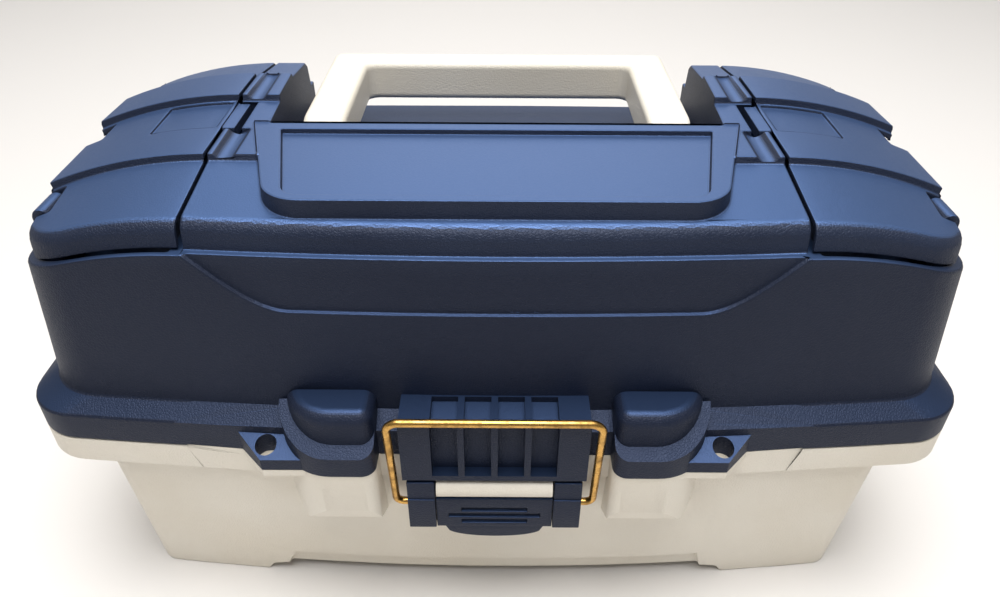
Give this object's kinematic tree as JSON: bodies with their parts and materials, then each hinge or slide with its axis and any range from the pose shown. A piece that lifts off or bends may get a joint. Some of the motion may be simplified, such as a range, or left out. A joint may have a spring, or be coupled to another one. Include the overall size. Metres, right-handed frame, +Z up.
{
  "type": "tackle box",
  "caption": "Portable tackle box with a hinged lid, cantilever trays that rise with it, top-access lids, a folding handle and an over-centre wire latch.",
  "frame": {"origin": "centre of the bounding box's underside, on the floor", "axes": "+Z up, +X along the length to the right, -Y to the latch side"},
  "size_m": [0.362, 0.2096, 0.1934],
  "materials": {
    "navy_plastic": "deep metallic navy with a fine leather grain",
    "offwhite_plastic": "warm off-white with a fine grain",
    "grey_plastic": "light grey, smooth",
    "clear_plastic": "translucent, smooth",
    "brass_wire": "drawn wire with a darker patina",
    "steel": "zinc plated"
  },
  "bodies": {
    "base": {"base_tub": "offwhite_plastic", "base_rivets": "steel", "hinge_pin_left": "steel", "hinge_pin_right": "steel"},
    "lid": {"lid_shell": "navy_plastic", "lid_skirt": "navy_plastic"},
    "access_lid_right": {"access_lid_right": "navy_plastic"},
    "access_lid_left": {"access_lid_left": "navy_plastic"},
    "handle": {"handle": "offwhite_plastic"},
    "latch_lever": {"latch_lever": "navy_plastic"},
    "latch_bail": {"latch_bail": "brass_wire"},
    "rear_arm_right": {"rear_arm_right": "steel"},
    "rear_arm_left": {"rear_arm_left": "steel"},
    "front_arm_right": {"front_arm_right": "steel"},
    "front_arm_left": {"front_arm_left": "steel"},
    "lower_tray": {"lower_tray": "grey_plastic", "lower_tray_dividers": "clear_plastic", "lower_tray_rivets": "steel"},
    "upper_tray": {"upper_tray": "grey_plastic", "upper_tray_dividers": "clear_plastic", "upper_tray_rivets": "steel"}
  },
  "joints": [
    {"name": "lid_hinge", "type": "hinge", "parent": "base", "child": "lid", "pos_m": [0, 0.0998, 0.093], "axis": [-1, 0, 0], "range_deg": [0, 105]},
    {"name": "access_lid_right_hinge", "type": "hinge", "parent": "lid", "child": "access_lid_right", "pos_m": [0.1635, 0.0018, 0.172], "axis": [0, 1, 0], "range_deg": [0, 105]},
    {"name": "access_lid_left_hinge", "type": "hinge", "parent": "lid", "child": "access_lid_left", "pos_m": [-0.1635, 0.0018, 0.172], "axis": [0, -1, 0], "range_deg": [0, 105]},
    {"name": "handle_pivot", "type": "hinge", "parent": "lid", "child": "handle", "pos_m": [0, 0.0033, 0.1805], "axis": [1, 0, 0], "range_deg": [0, 90]},
    {"name": "latch_lever_pivot", "type": "hinge", "parent": "base", "child": "latch_lever", "pos_m": [0, -0.0987, 0.082], "axis": [-1, 0, 0], "range_deg": [0, 80]},
    {"name": "latch_bail_pivot", "type": "hinge", "parent": "latch_lever", "child": "latch_bail", "pos_m": [0, -0.0957, 0.0695], "axis": [1, 0, 0], "range_deg": [0, 128.1]},
    {"name": "rear_arm_right_pivot", "type": "hinge", "parent": "base", "child": "rear_arm_right", "pos_m": [0.1467, 0.0718, 0.074], "axis": [-1, 0, 0], "range_deg": [0, 43.1]},
    {"name": "rear_arm_left_pivot", "type": "hinge", "parent": "base", "child": "rear_arm_left", "pos_m": [-0.1467, 0.0718, 0.074], "axis": [-1, 0, 0], "range_deg": [0, 43.1]},
    {"name": "front_arm_right_pivot", "type": "hinge", "parent": "base", "child": "front_arm_right", "pos_m": [0.1467, 0.0338, 0.074], "axis": [-1, 0, 0], "range_deg": [0, 43.1]},
    {"name": "front_arm_left_pivot", "type": "hinge", "parent": "base", "child": "front_arm_left", "pos_m": [-0.1467, 0.0338, 0.074], "axis": [-1, 0, 0], "range_deg": [0, 43.1]},
    {"name": "lower_tray_pivot", "type": "hinge", "parent": "rear_arm_right", "child": "lower_tray", "pos_m": [0.1467, 0.0235, 0.08694], "axis": [-1, 0, 0], "range_deg": [-43.1, 0]},
    {"name": "upper_tray_pivot", "type": "hinge", "parent": "rear_arm_right", "child": "upper_tray", "pos_m": [0.1467, -0.02479, 0.09988], "axis": [-1, 0, 0], "range_deg": [-43.1, 0]}
  ],
  "couplings": [
    {"joint": "latch_bail_pivot", "follows": "latch_lever_pivot", "ratio": 1.6},
    {"joint": "rear_arm_right_pivot", "follows": "lid_hinge", "ratio": 0.41},
    {"joint": "rear_arm_left_pivot", "follows": "lid_hinge", "ratio": 0.41},
    {"joint": "front_arm_right_pivot", "follows": "lid_hinge", "ratio": 0.41},
    {"joint": "front_arm_left_pivot", "follows": "lid_hinge", "ratio": 0.41},
    {"joint": "lower_tray_pivot", "follows": "lid_hinge", "ratio": -0.41},
    {"joint": "upper_tray_pivot", "follows": "lid_hinge", "ratio": -0.41}
  ]
}
